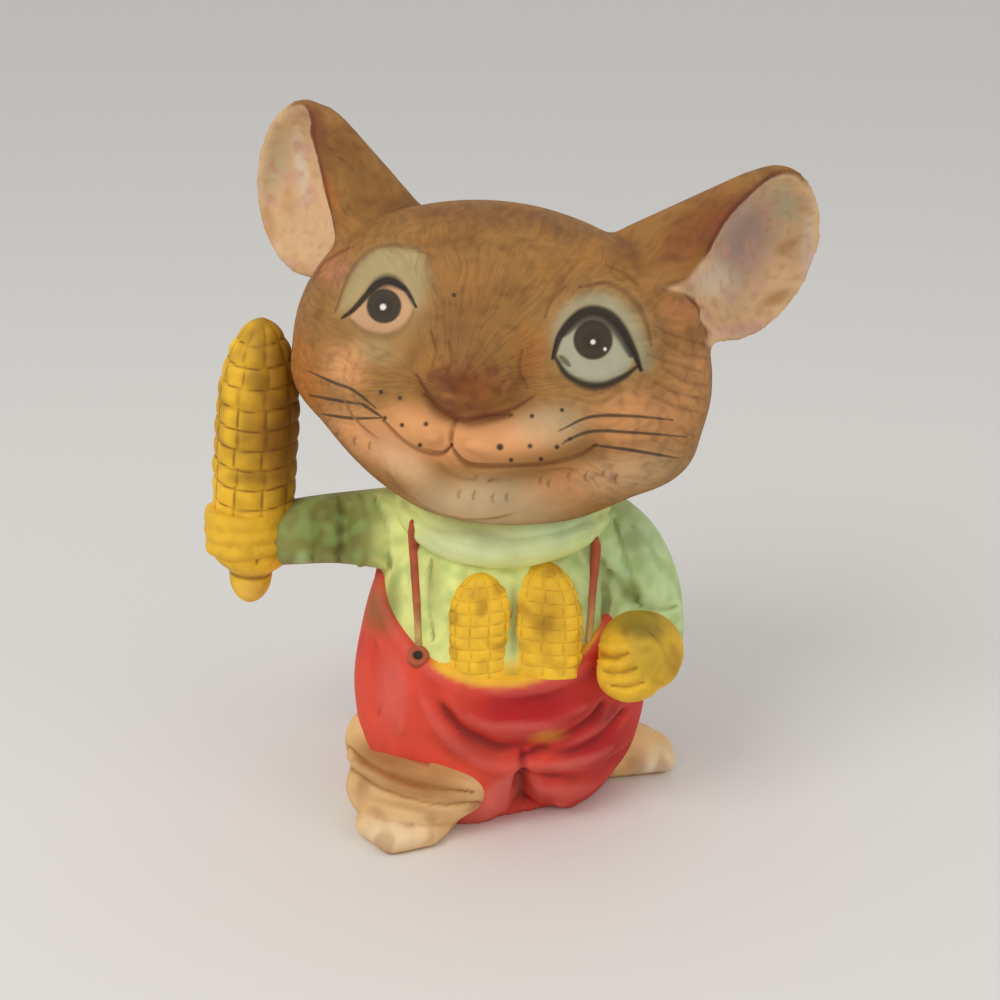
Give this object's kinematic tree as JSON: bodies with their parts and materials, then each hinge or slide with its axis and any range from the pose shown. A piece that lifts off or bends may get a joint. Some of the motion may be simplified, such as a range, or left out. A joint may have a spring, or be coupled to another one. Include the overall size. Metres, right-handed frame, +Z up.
{
  "type": "mouse figurine",
  "caption": "Bisque porcelain mouse in a sweater and overalls, raising an ear of corn to its cheek; a free-standing shelf ornament with a flat vented base.",
  "frame": {"origin": "on the table plane, on the flat underside of the trousers, below the middle of the torso", "axes": "+Z up, -Y the way the torso faces, +X to the figure's left (the viewer's right)"},
  "size_m": [0.1, 0.0602, 0.1151],
  "materials": {
    "trousers": "matte",
    "sweater": "matte",
    "fur": "matte",
    "nose": "matte",
    "ear": "matte",
    "corn": "matte",
    "paw": "matte",
    "brace": "matte",
    "button": "matte",
    "foot": "matte",
    "tail": "matte"
  },
  "bodies": {
    "root": {"trousers_casting": "trousers", "sweater_casting": "sweater", "collar_roll": "sweater", "right_sleeve": "sweater", "left_sleeve": "sweater", "head_casting": "fur", "nose": "nose", "right_ear": "ear", "left_ear": "ear", "held_cob": "corn", "right_pocket_cob": "corn", "left_pocket_cob": "corn", "right_paw": "paw", "left_paw": "paw", "right_brace": "brace", "left_brace": "brace", "brace_button": "button", "right_foot": "foot", "left_foot": "foot", "tail": "tail"}
  },
  "joints": []
}
